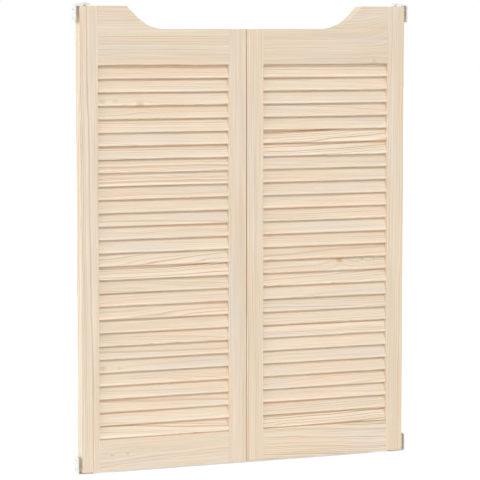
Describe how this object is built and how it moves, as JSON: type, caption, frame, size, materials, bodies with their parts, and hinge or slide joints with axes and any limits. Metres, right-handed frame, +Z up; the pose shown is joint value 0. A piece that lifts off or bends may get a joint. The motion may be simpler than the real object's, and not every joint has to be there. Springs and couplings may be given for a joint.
{
  "type": "pair of louvred cafe swinging doors",
  "caption": "Pair of short louvred pine doors with a scooped top, hung at their outer edges on sprung jamb pivots so that both leaves swing through in either direction.",
  "frame": {"origin": "under the gap between the leaves, midway through their thickness, level with the underside of the lower jamb brackets", "axes": "+X to the right along the doorway as seen from the front, +Y through the doorway to the back, +Z up; the slats' lower edges face the front"},
  "size_m": [0.834, 0.032, 1.0785],
  "materials": {
    "stile_pine": "unfinished sanded pine, grain upright",
    "rail_pine": "unfinished sanded pine, grain level",
    "slat_pine": "unfinished sanded pine, grain level",
    "dowel_beech": "plain beech",
    "bracket_enamel": "white powder coat on steel",
    "pin_steel": "turned steel",
    "shoe_steel": "satin zinc plate",
    "spring_steel": "oiled spring wire",
    "screw_steel": "bright zinc plate",
    "bush_acetal": "natural acetal"
  },
  "bodies": {
    "jamb_pivots": {"right_lower_bracket": "bracket_enamel", "right_lower_pivot_pin": "pin_steel", "right_thrust_washer": "bush_acetal", "right_return_spring": "spring_steel", "right_upper_bracket": "bracket_enamel", "right_upper_pivot_pin": "pin_steel", "left_lower_bracket": "bracket_enamel", "left_lower_pivot_pin": "pin_steel", "left_thrust_washer": "bush_acetal", "left_return_spring": "spring_steel", "left_upper_bracket": "bracket_enamel", "left_upper_pivot_pin": "pin_steel"},
    "right_leaf": {"right_outer_stile": "stile_pine", "right_meeting_stile": "stile_pine", "right_top_rail": "rail_pine", "right_bottom_rail": "rail_pine", "right_dowels": "dowel_beech", "right_slats_01_02": "slat_pine", "right_slats_03_04": "slat_pine", "right_slats_05_06": "slat_pine", "right_slats_07_08": "slat_pine", "right_slats_09_10": "slat_pine", "right_slats_11_12": "slat_pine", "right_slats_13_14": "slat_pine", "right_slats_15_16": "slat_pine", "right_slats_17_18": "slat_pine", "right_slats_19_20": "slat_pine", "right_slats_21_22": "slat_pine", "right_slats_23_24": "slat_pine", "right_slats_25_26": "slat_pine", "right_slats_27_28": "slat_pine", "right_pivot_shoe": "shoe_steel", "right_barrel_bushes": "bush_acetal", "right_shoe_screws": "screw_steel", "right_upper_socket": "bush_acetal"},
    "left_leaf": {"left_outer_stile": "stile_pine", "left_meeting_stile": "stile_pine", "left_top_rail": "rail_pine", "left_bottom_rail": "rail_pine", "left_dowels": "dowel_beech", "left_slats_01_02": "slat_pine", "left_slats_03_04": "slat_pine", "left_slats_05_06": "slat_pine", "left_slats_07_08": "slat_pine", "left_slats_09_10": "slat_pine", "left_slats_11_12": "slat_pine", "left_slats_13_14": "slat_pine", "left_slats_15_16": "slat_pine", "left_slats_17_18": "slat_pine", "left_slats_19_20": "slat_pine", "left_slats_21_22": "slat_pine", "left_slats_23_24": "slat_pine", "left_slats_25_26": "slat_pine", "left_slats_27_28": "slat_pine", "left_pivot_shoe": "shoe_steel", "left_barrel_bushes": "bush_acetal", "left_shoe_screws": "screw_steel", "left_upper_socket": "bush_acetal"}
  },
  "joints": [
    {"name": "right_swing", "type": "hinge", "parent": "jamb_pivots", "child": "right_leaf", "pos_m": [0.3895, 0, 0.5], "axis": [0, 0, -1], "range_deg": [-90, 90], "stiffness_Nm_per_rad": 1.5, "deforming": ["right_return_spring"]},
    {"name": "left_swing", "type": "hinge", "parent": "jamb_pivots", "child": "left_leaf", "pos_m": [-0.3895, 0, 0.5], "axis": [0, 0, 1], "range_deg": [-90, 90], "stiffness_Nm_per_rad": 1.5, "deforming": ["left_return_spring"]}
  ]
}
